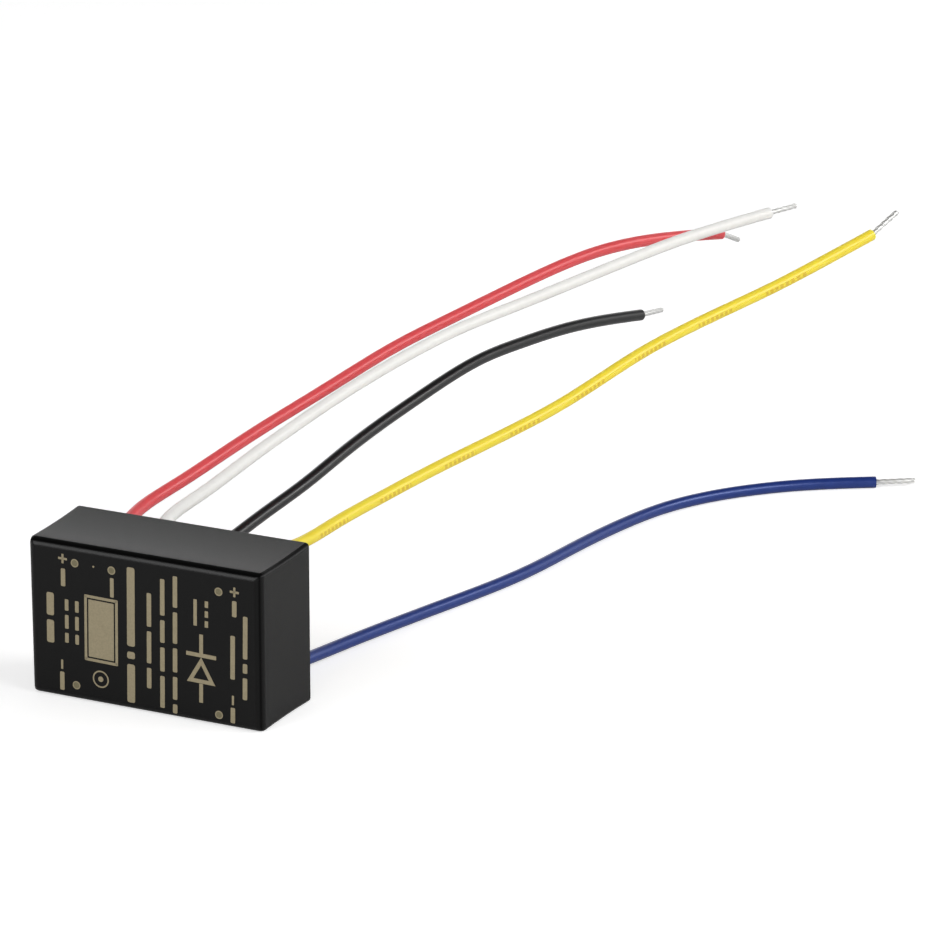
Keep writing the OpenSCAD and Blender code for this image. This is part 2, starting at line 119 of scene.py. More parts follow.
# Each lead: its place on the board, then its route; the last point gives the way of the bare end
LEADS = {
    "red": ((-COLUMN_X, ROW_TOP), (
        (-11.75, 13, 18.25), (-10.25, 20.5, 19.25), (-8.5, 29, 21), (-7, 37.5, 22.5),
        (-5, 45.5, 24), (-2.5, 53.5, 26), (0, 61.5, 28), (3, 69.5, 29.5),
        (6, 77.5, 31), (9, 85.5, 32.5), (12.5, 93.5, 34), (16, 101, 34.5),
        (19.5, 108.5, 34), (23.5, 116.5, 33), (24, 121.5, 31),
    )),
    "white": ((CONTROL_STEP - COLUMN_X, ROW_TOP), (
        (-7, 11.5, 18.25), (-6, 19.75, 19), (-5, 28.5, 20.75), (-3.5, 37, 22.5),
        (-1.5, 45, 24.5), (1, 52.75, 26.5), (4, 60.5, 28.5), (7, 68.5, 30),
        (10.5, 76.5, 31), (14.5, 84, 32.5), (18.5, 91.5, 34), (22.5, 99, 35.5),
        (26.5, 106.5, 36.5), (31.5, 114, 37.5), (33, 118.5, 37.5),
    )),
    "black": ((-COLUMN_X, ROW_INSET), (
        (-9.75, 14.75, 5.75), (-9, 22.5, 8), (-8, 30.5, 9.5), (-7, 38.5, 11),
        (-5.5, 46.5, 12.5), (-4.5, 55, 14.5), (-3.5, 63.5, 16), (-2, 71.5, 17.5),
        (-0.5, 79.5, 19), (1, 87.5, 20), (3, 96, 20), (5, 104.5, 20),
        (7.5, 112.5, 19.5), (10, 120.5, 18.5), (11, 126, 18),
    )),
    "yellow": ((COLUMN_X, ROW_TOP), (
        (10.75, 13.25, 16.75), (11.75, 20.75, 17.75), (13.5, 29.5, 18.5), (15.5, 38, 19.5),
        (18, 46, 20.5), (20.5, 54, 21.5), (23.5, 62, 23), (26, 70, 25),
        (28.5, 77.5, 27), (31.5, 85.5, 28.5), (35, 93.5, 30), (38.5, 101, 31.5),
        (42, 108.5, 33.5), (45.5, 116.5, 35.5), (47.5, 121.5, 38),
    )),
    "blue": ((COLUMN_X, ROW_INSET), (
        (10.75, 16.25, 1.5), (12.25, 24.75, 1.25), (14, 33, 1), (16, 41.5, 0.8),
        (18.5, 50, 0.8), (20.5, 58.5, 0.8), (21.5, 66.5, 0.8), (22.5, 75, 0.8),
        (24, 83.5, 0.8), (26, 91.5, 0.8), (29.5, 98.5, 0.8), (34.5, 105, 0.8),
        (40.5, 110.5, 0.8), (48, 115, 0.8), (52.5, 118, 0.8),
    )),
}


def draw_lead(colour, site, route):
    """Insulation of one lead on one smooth line from the board to the stripped end."""
    line = bpy.data.curves.new(colour + "_insulation", "CURVE")
    line.dimensions = "3D"
    line.bevel_depth = LEAD_R * MM
    line.bevel_resolution = 6
    line.resolution_u = 12
    line.use_fill_caps = True
    points = [
        SEAT @ Vector(mm(site[0], BOARD_BACK_V, site[1])),
        SEAT @ Vector(mm(site[0], FILL_V + LEAD_STRAIGHT, site[1])),
        *(Vector(mm(*point)) for point in route[:-1]),
    ]
    spline = line.splines.new("NURBS")
    spline.points.add(len(points) - 1)
    for knot, point in zip(spline.points, points):
        knot.co = (*point, 1)
    spline.order_u = 4
    spline.use_endpoint_u = True
    lead = bpy.data.objects.new(colour + "_insulation", line)
    bpy.context.scene.collection.objects.link(lead)
    return lead


leads = {colour: draw_lead(colour, site, route) for colour, (site, route) in LEADS.items()}


# Ways of working on a mesh

def name_piece(name, size=None):
    """Names the new object and its mesh, with its size in millimetres and its place put into it."""
    piece = bpy.context.object
    if size:
        piece.scale = mm(*size)
    bpy.ops.object.transform_apply(location=True, rotation=True, scale=True)
    piece.name = name
    piece.data.name = name
    return piece


def pick(piece, kind, wanted):
    """In edit mode, selects the faces or edges whose middle and normal or direction are wanted."""
    bpy.ops.mesh.select_mode(type=kind)
    bpy.ops.mesh.select_all(action="DESELECT")
    shape = bmesh.from_edit_mesh(piece.data)
    for part in shape.faces if kind == "FACE" else shape.edges:
        if kind == "FACE":
            way = part.normal
        else:
            way = (part.verts[1].co - part.verts[0].co).normalized()
        middle = sum((v.co for v in part.verts), Vector()) / len(part.verts)
        part.select_set(bool(wanted(middle / MM, way)))
    bmesh.update_edit_mesh(piece.data)


def open_mesh(kind):
    """Edit mode with every face or edge of the active object selected."""
    bpy.ops.object.mode_set(mode="EDIT")
    bpy.ops.mesh.select_mode(type=kind)
    bpy.ops.mesh.select_all(action="SELECT")


def close_shell():
    """In edit mode, fills what is open, points all faces outwards and leaves edit mode."""
    bpy.ops.mesh.select_all(action="SELECT")
    bpy.ops.mesh.fill_holes(sides=0)
    bpy.ops.mesh.normals_make_consistent(inside=False)
    bpy.ops.object.mode_set(mode="OBJECT")


def choose(pieces):
    """Selects these pieces and nothing else, with the first one active."""
    bpy.ops.object.select_all(action="DESELECT")
    for piece in pieces:
        piece.select_set(True)
    bpy.context.view_layer.objects.active = pieces[0]


def join(pieces, name):
    """Joins pieces into the first one."""
    choose(pieces)
    bpy.ops.object.join()
    pieces[0].name = name
    pieces[0].data.name = name
    return pieces[0]


def shade(piece, degrees):
    """Smooth shading, with edges sharper than this angle left crisp."""
    choose([piece])
    bpy.ops.object.shade_smooth_by_angle(angle=math.radians(degrees))


def mould_case():
    """The case: a drafted box, hollowed from the back, with its edges rounded."""
    bpy.ops.object.select_all(action="DESELECT")
    bpy.ops.mesh.primitive_cube_add(size=1, location=mm(0, CASE_D / 2, CASE_MID))
    case = name_piece("moulded_case", (CASE_L, CASE_D, CASE_H))
    bpy.ops.object.mode_set(mode="EDIT")
    pick(case, "FACE", lambda middle, normal: normal.y < -ALONG)
    bpy.ops.transform.resize(
        value=(1 - 2 * TAPER / CASE_L, 1, 1 - 2 * TAPER / CASE_H),
        center_override=mm(0, 0, CASE_MID),
    )
    # The long walls sank as the resin shrank: rings round the case, pinched most in the middle
    shares = [step / SINK_STEPS for step in range(1, SINK_STEPS)]
    depths = [FACE_EDGE_R + (CASE_D - FACE_EDGE_R) * share for share in shares]
    for depth in depths:
        bpy.ops.mesh.select_all(action="SELECT")
        bpy.ops.mesh.bisect(plane_co=mm(0, depth, CASE_MID), plane_no=(0, 1, 0))
    for share, depth in zip(shares, depths):
        pick(case, "EDGE", lambda middle, way: abs(middle.y - depth) < NEAR)
        sunk = 4 * SINK * share * (1 - share)
        bpy.ops.transform.resize(
            value=(1, 1, 1 - 2 * sunk / CASE_H), center_override=mm(0, depth, CASE_MID)
        )
    pick(case, "FACE", lambda middle, normal: normal.y > ALONG)
    bpy.ops.mesh.inset(thickness=SIDE_WALL * MM, depth=0)
    bpy.ops.mesh.extrude_region_move(
        TRANSFORM_OT_translate={"value": mm(0, FACE_WALL - CASE_D, 0)}
    )
    inner_l, inner_h = CASE_L - 2 * SIDE_WALL, CASE_H - 2 * SIDE_WALL
    bpy.ops.transform.resize(
        value=(1 - 2 * TAPER / inner_l, 1, 1 - 2 * TAPER / inner_h),
        center_override=mm(0, FACE_WALL, CASE_MID),
    )
    mid_wall = CASE_L / 2 - SIDE_WALL / 2
    roundings = (
        (FACE_EDGE_R, lambda middle, way: middle.y < NEAR),
        (CORNER_R, lambda middle, way: abs(way.y) > ALONG and abs(middle.x) > mid_wall),
        (INNER_CORNER_R, lambda middle, way: abs(way.y) > ALONG and abs(middle.x) < mid_wall),
        (RIM_R, lambda middle, way: middle.y > CASE_D - NEAR),
    )
    for radius, wanted in roundings:
        pick(case, "EDGE", wanted)
        bpy.ops.transform.edge_bevelweight(value=radius / FACE_EDGE_R)
    bpy.ops.object.mode_set(mode="OBJECT")
    bpy.ops.object.shade_smooth()
    rounding = case.modifiers.new("edge_rounding", "BEVEL")
    rounding.limit_method = "WEIGHT"
    rounding.width = FACE_EDGE_R * MM
    rounding.segments = CASE_EDGE_STEPS
    rounding.use_clamp_overlap = False
    rounding.harden_normals = True
    bpy.ops.object.modifier_apply(modifier=rounding.name)
    # How far the normal leans off the flats: 0 on them, and 1 in the middle of a rounding; it
    # drives both the smoother finish and the painted shade of the edges
    polish_and_shade = case.data.attributes.new("edge_polish_and_shade", "FLOAT", "POINT")
    for vertex, lean in zip(case.data.vertices, polish_and_shade.data):
        straight = max(abs(part) for part in vertex.normal)
        lean.value = math.acos(min(1, straight)) / math.radians(45)
    case.data.transform(SEAT)
    return case


def cast_resin():
    """The fill behind the board: a slab that creeps up the wall, with a collar on each lead."""
    top_v = FILL_V + sum(drop for _, drop in CREEP)
    less = 2 * (SIDE_WALL + (CASE_D - top_v) * math.tan(DRAFT))
    bpy.ops.object.select_all(action="DESELECT")
    bpy.ops.mesh.primitive_cube_add(
        size=1, location=mm(0, (top_v + BOARD_BACK_V) / 2, CASE_MID)
    )
    resin = name_piece("cast_resin", (CASE_L - less, top_v - BOARD_BACK_V, CASE_H - less))
    bpy.ops.object.mode_set(mode="EDIT")
    pick(resin, "EDGE", lambda middle, way: abs(way.y) > ALONG)
    bpy.ops.mesh.bevel(
        offset=INNER_CORNER_R * MM, segments=RESIN_CORNER_STEPS, affect="EDGES"
    )
    pick(resin, "FACE", lambda middle, normal: normal.y > ALONG)
    *steep, (last_width, last_drop) = CREEP
    for width, drop in steep:
        bpy.ops.mesh.inset(thickness=width * MM, depth=-drop * MM)
    # By here the rounded corners have shrunk almost to points
    bpy.ops.mesh.remove_doubles(threshold=CORNER_MERGE * MM)
    pick(
        resin, "FACE",
        lambda middle, normal: normal.y > ALONG
        and abs(middle.z - CASE_MID) < MIDDLE and abs(middle.x) < MIDDLE,
    )
    bpy.ops.mesh.inset(thickness=last_width * MM, depth=-last_drop * MM)
    # A last narrow border, so that the wide middle is shaded flat
    bpy.ops.mesh.inset(thickness=FLAT_BORDER * MM, depth=0)
    bpy.ops.object.mode_set(mode="OBJECT")
    parts = [resin]
    for site, _ in LEADS.values():
        radius = LEAD_R + MENISCUS_W
        bpy.ops.object.select_all(action="DESELECT")
        bpy.ops.mesh.primitive_circle_add(
            vertices=ROUND_SIDES,
            radius=radius * MM,
            location=mm(site[0], FILL_V - COLLAR_SUNK, site[1]),
            rotation=(math.radians(-90), 0, 0),
        )
        parts.append(name_piece("collar"))
        open_mesh("EDGE")
        for width, rise in reversed(CREEP):
            bpy.ops.mesh.extrude_edges_move(
                TRANSFORM_OT_translate={"value": mm(0, rise, 0)}
            )
            share = (radius - width) / radius
            radius -= width
            bpy.ops.transform.resize(
                value=(share, 1, share), center_override=mm(site[0], FILL_V, site[1])
            )
        close_shell()
    join(parts, "cast_resin")
    shade(resin, 40)
    resin.data.transform(SEAT)
    return resin


def twist_tip():
    """Bare end of a lead along +Z: strands laid round a straight one, under a film of tin."""
    strand_r = CONDUCTOR_D / (2 * STRANDS_ACROSS)
    bpy.ops.object.select_all(action="DESELECT")
    bpy.ops.mesh.primitive_circle_add(
        vertices=STRAND_SIDES,
        radius=strand_r * STRAND_FULL * MM,
        location=mm(2 * strand_r, 0, -TIP_SUNK),
        rotation=(math.radians(90), 0, 0),
    )
    strand = name_piece("strand")
    laying = strand.modifiers.new("laying", "SCREW")
    laying.angle = math.tau * (BARE_L + TIP_SUNK) / STRAND_LAY
    laying.screw_offset = (BARE_L + TIP_SUNK) * MM
    laying.steps = LAY_STEPS
    laying.render_steps = LAY_STEPS
    laying.use_smooth_shade = True
    bpy.ops.object.modifier_apply(modifier=laying.name)
    open_mesh("EDGE")
    close_shell()
    laid = [strand]
    for turn in range(1, STRANDS):
        other = strand.copy()
        other.data = strand.data.copy()
        other.data.transform(Matrix.Rotation(math.tau * turn / STRANDS, 4, "Z"))
        bpy.context.scene.collection.objects.link(other)
        laid.append(other)
    bpy.ops.object.select_all(action="DESELECT")
    bpy.ops.mesh.primitive_cylinder_add(
        vertices=STRAND_SIDES,
        radius=strand_r * CORE_FULL * MM,
        depth=(BARE_L + TIP_SUNK - CORE_SHORT) * MM,
        location=mm(0, 0, (BARE_L - TIP_SUNK - CORE_SHORT) / 2),
    )
    core = name_piece("core_strand")
    bpy.ops.object.mode_set(mode="EDIT")
    pick(core, "FACE", lambda middle, normal: abs(normal.z) > ALONG)
    bpy.ops.mesh.bevel(offset=CORE_EDGE * MM, segments=CORE_EDGE_STEPS, affect="EDGES")
    bpy.ops.object.mode_set(mode="OBJECT")
    laid.append(core)
    tip = join(laid, "strands")
    shade(tip, 50)
    return tip


def copy_tip(pattern, colour, route):
    """A copy of the bare end, set on the end of one lead."""
    tip = bpy.data.objects.new(colour + "_strands", pattern.data.copy())
    tip.data.name = tip.name
    end, beyond = Vector(mm(*route[-2])), Vector(mm(*route[-1]))
    turn = Vector((0, 0, 1)).rotation_difference(beyond - end).to_matrix().to_4x4()
    tip.data.transform(Matrix.Translation(end) @ turn)
    bpy.context.scene.collection.objects.link(tip)
    return tip


# Marks of the pad print, in millimetres from the middle of the lower edge of the face
PRINT_T = 0.02
PRINT_TILT = math.radians(-1.1)
# Rounding of a bar, as a share of its width, and of the thin lines of signs and symbols
BAR_ROUNDING, LINE_CORNER = 0.25, 0.05
# Terminal rings with a disc inside
DOT_R, DOT_RIM = 0.52, 0.13
TERMINALS = ((-9.35, 17.6), (-4.35, 17.55), (10.0, 17.45), (10.1, 1.9), (-9.25, 2.0))
# Other round marks: place, radius, and line width where it is a ring
ROUND_MARKS = ((-6.8, 17.6, 0.13, 0), (-5.9, 3.4, 1.1, 0.18), (-5.9, 3.4, 0.35, 0))
# Columns of plain bars: middle across the face, bar width, then the lower and upper end of each bar
BAR_COLUMNS = (
    (-12.75, 1.0, ((6.9, 9.8), (10.4, 13.3))),
    (-10.5, 0.5, ((7.25, 8.5), (9.05, 10.8), (11.35, 12.8))),
    (-9.1, 0.5, ((7.25, 8.5), (9.05, 10.8), (11.35, 12.8))),
    (-1.75, 1.05, ((1.2, 6.1), (6.8, 7.7), (8.4, 18.4))),
    (0.7, 0.6, ((3.5, 6.1), (6.7, 10.75), (11.35, 15.6))),
    (2.5, 0.6, ((1.35, 5.4), (6.0, 9.05), (9.65, 12.5), (13.1, 17.7))),
    (4.2, 0.6, ((0.95, 2.1), (2.7, 5.6), (6.2, 9.25), (9.85, 13.8), (14.4, 18.35))),
    (11.9, 0.6, ((6.75, 12.25),)),
    (13.55, 0.6, ((4.45, 7.2), (7.8, 9.0), (9.6, 14.95))),
    (-10.95, 0.6, ((14.4, 16.65),)),
    (-11.2, 0.6, ((1.05, 3.4),)),
    (-4.3, 0.5, ((14.15, 16.6),)),
    (12.1, 0.6, ((14.65, 16.65),)),
    (11.95, 0.6, ((1.2, 3.15),)),
)
# Polarity signs beside the input and output dots, turned as the bars are
SIGN_L, SIGN_W = 1.2, 0.28
PLUS_SIGNS = ((-11.0, 17.9), (12.1, 17.75))
MINUS_SIGNS = ((-11.2, 4.35), (11.95, 4.1))
# Blank plate in a frame: place, then width, height, corner and line of the frame and of the plate
PLATE_AT = (-5.8, 9.7)
PLATE_MARKS = ((4.55, 8.4, 0.12, 0.35), (3.45, 7.3, 0.06, 0))
# Lamp symbol: a triangle, by its place, radius and line, and the bars against it and on either side
LAMP_TRIANGLE = (7.7, 6.55, 2.2, 0.5)
LAMP_BARS = ((7.7, 9.0, 4.0, 0.5), (7.7, 10.45, 0.5, 2.4), (7.7, 4.2, 0.5, 2.4))
# Direct current: a long line beside three short ones
CURRENT_BARS = (
    (6.9, 14.3, 0.45, 3.3), (8.4, 13.05, 0.45, 0.8), (8.4, 14.3, 0.45, 0.8), (8.4, 15.55, 0.45, 0.8)
)


def lift_mark(size=None, corner=0, line=0):
    """Makes a raised mark of the flat shape just added: corners rounded, open inside its line."""
    mark = name_piece("mark", size)
    open_mesh("FACE")
    if corner:
        bpy.ops.mesh.bevel(offset=corner * MM, segments=MARK_CORNER_STEPS, affect="VERTICES")
    if line:
        bpy.ops.mesh.inset(thickness=line * MM, depth=0)
        bpy.ops.mesh.delete(type="FACE")
    bpy.ops.mesh.select_all(action="SELECT")
    bpy.ops.mesh.extrude_region_move(TRANSFORM_OT_translate={"value": mm(0, -PRINT_T, 0)})
    bpy.ops.object.mode_set(mode="OBJECT")
    return mark


def print_bar(x, w, width, height, corner=LINE_CORNER, line=0):
    """A bar by its middle and size; with a line width, only its outline."""
    bpy.ops.object.select_all(action="DESELECT")
    bpy.ops.mesh.primitive_plane_add(
        size=1, location=mm(x, 0, w), rotation=(math.radians(90), 0, 0)
    )
    return lift_mark((width, height, 1), corner, line)


def print_round(x, w, radius, line=0, sides=ROUND_SIDES):
    """A round or many-sided mark by its middle and radius; with a line width, only its outline."""
    bpy.ops.object.select_all(action="DESELECT")
    bpy.ops.mesh.primitive_circle_add(
        vertices=sides,
        radius=radius * MM,
        fill_type="NGON",
        location=mm(x, 0, w),
        rotation=(math.radians(90), 0, 0),
    )
    return lift_mark(line=line)


def print_face():
    """The tan pad print: terminal rings, polarity signs, plain bars and a blank plate."""
    marks = [print_round(x, w, DOT_R, DOT_RIM) for x, w in TERMINALS]
    marks += [print_round(*mark) for mark in ROUND_MARKS]
    for x, width, bars in BAR_COLUMNS:
        for start, end in bars:
            corner = BAR_ROUNDING * width
            marks.append(print_bar(x, (start + end) / 2, width, end - start, corner))
    marks += [print_bar(x, w, SIGN_W, SIGN_L) for x, w in PLUS_SIGNS + MINUS_SIGNS]
    marks += [print_bar(x, w, SIGN_L, SIGN_W) for x, w in PLUS_SIGNS]
    marks += [print_bar(*PLATE_AT, *mark) for mark in PLATE_MARKS]
    return join(marks, "face_print")


def print_dots():
    """The discs inside the terminal rings."""
    return join([print_round(x, w, DOT_R - DOT_RIM) for x, w in TERMINALS], "face_dots")


def print_symbol():
    """Lamp symbol in the plain line style of circuit drawings, and a direct current sign."""
    marks = [print_round(*LAMP_TRIANGLE, sides=3)]
    marks += [print_bar(*bar) for bar in LAMP_BARS + CURRENT_BARS]
    return join(marks, "face_symbols")


def set_print(piece):
    """Turns a print a little on the face and seats it with the case."""
    centre = Matrix.Translation(mm(0, 0, CASE_MID))
    piece.data.transform(
        SEAT @ centre @ Matrix.Rotation(PRINT_TILT, 4, (0, -1, 0)) @ centre.inverted()
    )
    choose([piece])
    open_mesh("FACE")
    bpy.ops.mesh.normals_make_consistent(inside=False)
    bpy.ops.object.mode_set(mode="OBJECT")
    return piece


case = mould_case()
resin = cast_resin()
pattern_tip = twist_tip()
tips = {colour: copy_tip(pattern_tip, colour, route) for colour, (_, route) in LEADS.items()}
bpy.data.objects.remove(pattern_tip)
face_print = set_print(print_face())
face_dots = set_print(print_dots())
face_symbols = set_print(print_symbol())


# Materials

def linear(colour):
    """Linear colour of an sRGB hex value."""
    parts = [int(colour[i:i + 2], 16) / 255 for i in (1, 3, 5)]
    return (*(c / 12.92 if c <= 0.04045 else ((c + 0.055) / 1.055) ** 2.4 for c in parts), 1)


def per_metre(millimetres):
    """Texture scale at which one cell of the pattern has this size."""
    return 1 / (millimetres * MM)


def add(tree, kind, settings=None, by_number=None, **by_name):
    """Adds a node with its settings, and values or links for its inputs, by number or by name."""
    node = tree.nodes.new(kind)
    for key, value in (settings or {}).items():
        setattr(node, key, value)
    wanted = [(node.inputs[number], value) for number, value in (by_number or {}).items()]
    wanted += [(node.inputs[key.replace("_", " ")], value) for key, value in by_name.items()]
    for socket, value in wanted:
        if isinstance(value, bpy.types.NodeSocket):
            tree.links.new(value, socket)
        else:
            socket.default_value = value
    return node


def start_material(name):
    """An empty material with its output, its shader and the coordinates of the object."""
    material = bpy.data.materials.new(name)
    material.use_nodes = True
    tree = material.node_tree
    tree.nodes.clear()
    shader = add(tree, "ShaderNodeBsdfPrincipled")
    add(tree, "ShaderNodeOutputMaterial", Surface=shader.outputs["BSDF"])
    place = add(tree, "ShaderNodeTexCoord").outputs["Object"]
    return material, tree, shader, place


# Numbers of the factor and of the two colours among the inputs of a colour mix, and of its output
MIX_FACTOR, MIX_FIRST, MIX_SECOND, MIX_COLOUR = 0, 6, 7, 2


def grained(name, dark, light, cell, rough, bump, metallic=0.0, specular=0.5):
    """A surface whose colour, gloss and height vary with one grain, its cell in millimetres."""
    material, tree, shader, place = start_material(name)
    grain = add(
        tree, "ShaderNodeTexNoise",
        Vector=place, Scale=per_metre(cell), Detail=4.0, Roughness=0.6,
    ).outputs["Fac"]
    tint = add(
        tree, "ShaderNodeMix", {"data_type": "RGBA"},
        {MIX_FACTOR: grain, MIX_FIRST: linear(dark), MIX_SECOND: linear(light)},
    )
    gloss = add(
        tree, "ShaderNodeMapRange",
        Value=grain, From_Min=0.3, From_Max=0.7, To_Min=rough[0], To_Max=rough[1],
    )
    height = add(tree, "ShaderNodeBump", Height=grain, Strength=bump, Distance=cell * MM)
    tree.links.new(tint.outputs[MIX_COLOUR], shader.inputs["Base Color"])
    tree.links.new(gloss.outputs[0], shader.inputs["Roughness"])
    tree.links.new(height.outputs[0], shader.inputs["Normal"])
    shader.inputs["Metallic"].default_value = metallic
    shader.inputs["Specular IOR Level"].default_value = specular
    return material


METAL = 1.0
# Level of the gloss: of the case on its flats and in the middle of its edges, where it is lowered
# to paint shade, and of the ink
FLAT_SHEEN, EDGE_SHADED_SHEEN, INK_SHEEN = 0.2, 0.06, 0.3


def polish_and_shade_edges(material):
    """Rounded edges from the polished part of a tool: smoother, and with painted shade, a lower
    gloss level that makes their middle deep black.
    """
    tree = material.node_tree
    shader = tree.nodes["Principled BSDF"]
    lean = add(tree, "ShaderNodeAttribute", {"attribute_name": "edge_polish_and_shade"}).outputs["Fac"]
    # Painted shade: the gloss level drops in the middle of each rounding, so that it renders deep
    # black
    sheen = add(
        tree, "ShaderNodeMapRange",
        Value=lean, From_Min=0.7, From_Max=0.95, To_Min=FLAT_SHEEN, To_Max=EDGE_SHADED_SHEEN,
    )
    tree.links.new(sheen.outputs[0], shader.inputs["Specular IOR Level"])
    smooth = add(tree, "ShaderNodeMapRange", Value=lean, From_Max=0.35, To_Min=1.0, To_Max=0.6)
    matte = shader.inputs["Roughness"].links[0].from_socket
    gloss = add(
        tree, "ShaderNodeMath", {"operation": "MULTIPLY"}, {0: matte, 1: smooth.outputs[0]}
    )
    tree.links.new(gloss.outputs[0], shader.inputs["Roughness"])


# Dashes on the yellow lead: ink, and how much it covers
DASH_INK, DASH_STRENGTH = "#b9812a", 0.4
# Repeats in the whole length or girth, shift, and share inked: of a dash, a row of dashes, the line
DASH_PATTERN = (("X", 134, 0, 0.6), ("X", 9, 0, 0.5), ("Y", 1, 0.62, 0.11))


def print_dashes(material):
    """Faint dashes along a lead, in short rows, by its own UV: along its length and round it."""
    tree = material.node_tree
    shader = tree.nodes["Principled BSDF"]
    uv = add(tree, "ShaderNodeSeparateXYZ", Vector=add(tree, "ShaderNodeTexCoord").outputs["UV"])
    mask = DASH_STRENGTH
    for source, repeats, shift, share in DASH_PATTERN:
        turned = add(
            tree, "ShaderNodeMath", {"operation": "MULTIPLY_ADD"},
            {0: uv.outputs[source], 1: repeats, 2: shift},
        )
        part = add(tree, "ShaderNodeMath", {"operation": "FRACT"}, {0: turned.outputs[0]})
        inked = add(
            tree, "ShaderNodeMath", {"operation": "LESS_THAN"}, {0: part.outputs[0], 1: share}
        )
        mask = add(
            tree, "ShaderNodeMath", {"operation": "MULTIPLY"}, {0: mask, 1: inked.outputs[0]}
        ).outputs[0]
    plain = shader.inputs["Base Color"].links[0].from_socket
    tint = add(
        tree, "ShaderNodeMix", {"data_type": "RGBA"},
        {MIX_FACTOR: mask, MIX_FIRST: plain, MIX_SECOND: linear(DASH_INK)},
    )
    tree.links.new(tint.outputs[MIX_COLOUR], shader.inputs["Base Color"])


# Glass-filled polyester, moulded in a spark-eroded tool: black, with a fine matte that greys it
moulded_polyester = grained(
    "glass_filled_polyester_spark_eroded", "#040404", "#090909", 0.12, (0.3, 0.38), 0.2,
    specular=FLAT_SHEEN,
)
# Its rounded edges are smoother, with painted shade in their middle
polish_and_shade_edges(moulded_polyester)
# Two-part epoxy, poured and cured: glossy, with slow waves from its skin
cured_epoxy = grained("epoxy_resin_cast", "#0d0d0e", "#161617", 2.5, (0.16, 0.3), 0.12)
# Pad-print ink: matt, a little uneven over the texture below
print_ink = grained(
    "pad_print_ink_tan", "#7e745b", "#a0957a", 0.25, (0.55, 0.7), 0.2, specular=INK_SHEEN
)
# The same ink laid thinner, so that the black below greys it
print_ink_worn = grained(
    "pad_print_ink_tan_thin", "#5d573f", "#7d765c", 0.2, (0.5, 0.65), 0.2, specular=INK_SHEEN
)
# Copper strands under dipped tin: bright metal with a soft grain
tinned_copper = grained(
    "copper_strands_tinned", "#d6d6d4", "#e8e8e6", 0.2, (0.5, 0.6), 0.08, METAL
)

# Extruded PVC, satin: dark and light of its grain, and level of its gloss
INSULATION = {
    "red": ("#d24a4f", "#e05c60", 0.4),
    "white": ("#e4e3e0", "#eeedea", 0.3),
    "black": ("#08080a", "#0f0f11", 0.6),
    "yellow": ("#e6d03a", "#f0dc4a", 0.4),
    "blue": ("#172a6a", "#20377f", 0.9),
}
# The paler colours are milky, so that light spreads this far into them, in millimetres
MILKY, MILK_DEPTH = ("red", "white", "yellow"), 1.2
# The blue pigment shows through the gloss of the skin
BLUE_GLOSS = "#b4c6ff"

insulation = {
    colour: grained(
        "pvc_insulation_extruded_" + colour, dark, light, 0.8, (0.3, 0.36), 0.03, specular=gloss
    )
    for colour, (dark, light, gloss) in INSULATION.items()
}
skins = {colour: pvc.node_tree.nodes["Principled BSDF"] for colour, pvc in insulation.items()}
for colour in MILKY:
    skins[colour].inputs["Subsurface Weight"].default_value = 1.0
    skins[colour].inputs["Subsurface Radius"].default_value = (1, 1, 1)
    skins[colour].inputs["Subsurface Scale"].default_value = MILK_DEPTH * MM
skins["blue"].inputs["Specular Tint"].default_value = linear(BLUE_GLOSS)
print_dashes(insulation["yellow"])

# What the resin hides keeps the finish of the real part
HIDDEN_FINISHES = {
    # Glass laminate under green solder mask
    "board": ("glass_laminate_green_mask", "#1f5a2c", "#2f7a3e", 0.4, (0.35, 0.5), 0.1),
    # Tin solder, smooth and bright with a grain
    "solder_joints": ("tin_solder", "#b9bbbd", "#d6d8da", 0.3, (0.2, 0.35), 0.1, METAL),
    # Sintered ferrite: dull dark grey with a sandy grain
    "inductor_core": ("ferrite_sintered", "#3a3a3d", "#56565a", 0.15, (0.6, 0.75), 0.3),
    "inductor_shield": ("ferrite_sintered_shield", "#303033", "#4a4a4e", 0.15, (0.6, 0.75), 0.3),
    # Copper magnet wire under clear enamel
    "inductor_winding": (
        "copper_wire_enamelled", "#a85a26", "#c67a3d", 0.3, (0.25, 0.4), 0.1, METAL
    ),
    # Chip and diode bodies: moulded black epoxy with a fine sparkle of filler
    "converter_chip": ("moulding_compound_chip", "#1c1d1f", "#2a2b2e", 0.1, (0.5, 0.65), 0.2),
    "diode": ("moulding_compound_diode", "#1f2022", "#2d2e31", 0.1, (0.5, 0.65), 0.2),
    # Barium titanate ceramic: sandy tan, finely pitted
    "capacitors": ("ceramic_capacitor_body", "#a98b62", "#c4a880", 0.2, (0.5, 0.65), 0.2),
    # Alumina chip under black glaze
    "resistors": ("glazed_alumina", "#17181a", "#26282b", 0.3, (0.25, 0.4), 0.05),
}
hidden = {name: grained(*finish) for name, finish in HIDDEN_FINISHES.items()}
# The wire in the holes of the board is that of the bare ends
hidden["soldered_ends"] = tinned_copper
# Tin plate on the metal of the small parts: bright, with a fine grain
tin_plate = grained(
    "tin_plated_terminal", "#bfc1c3", "#dcdee0", 0.25, (0.25, 0.4), 0.08, METAL
)
for name in ("inductor_terminals", "chip_pins", "diode_tabs", "capacitor_ends", "resistor_ends"):
    hidden[name] = tin_plate
for name, finish in hidden.items():
    for slot in nodes[name].material_slots:
        slot.material = finish

case.data.materials.append(moulded_polyester)
resin.data.materials.append(cured_epoxy)
face_print.data.materials.append(print_ink)
face_dots.data.materials.append(print_ink_worn)
face_symbols.data.materials.append(print_ink)

# What each piece stands for and rides on
for piece, slot, replaced in (
    (case, "moulded_case", "case"),
    (resin, "cast_resin", "fill"),
    (face_print, None, None),
    (face_dots, None, None),
    (face_symbols, None, None),
):
    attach(piece, "root")
    if slot:
        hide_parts(replaced)
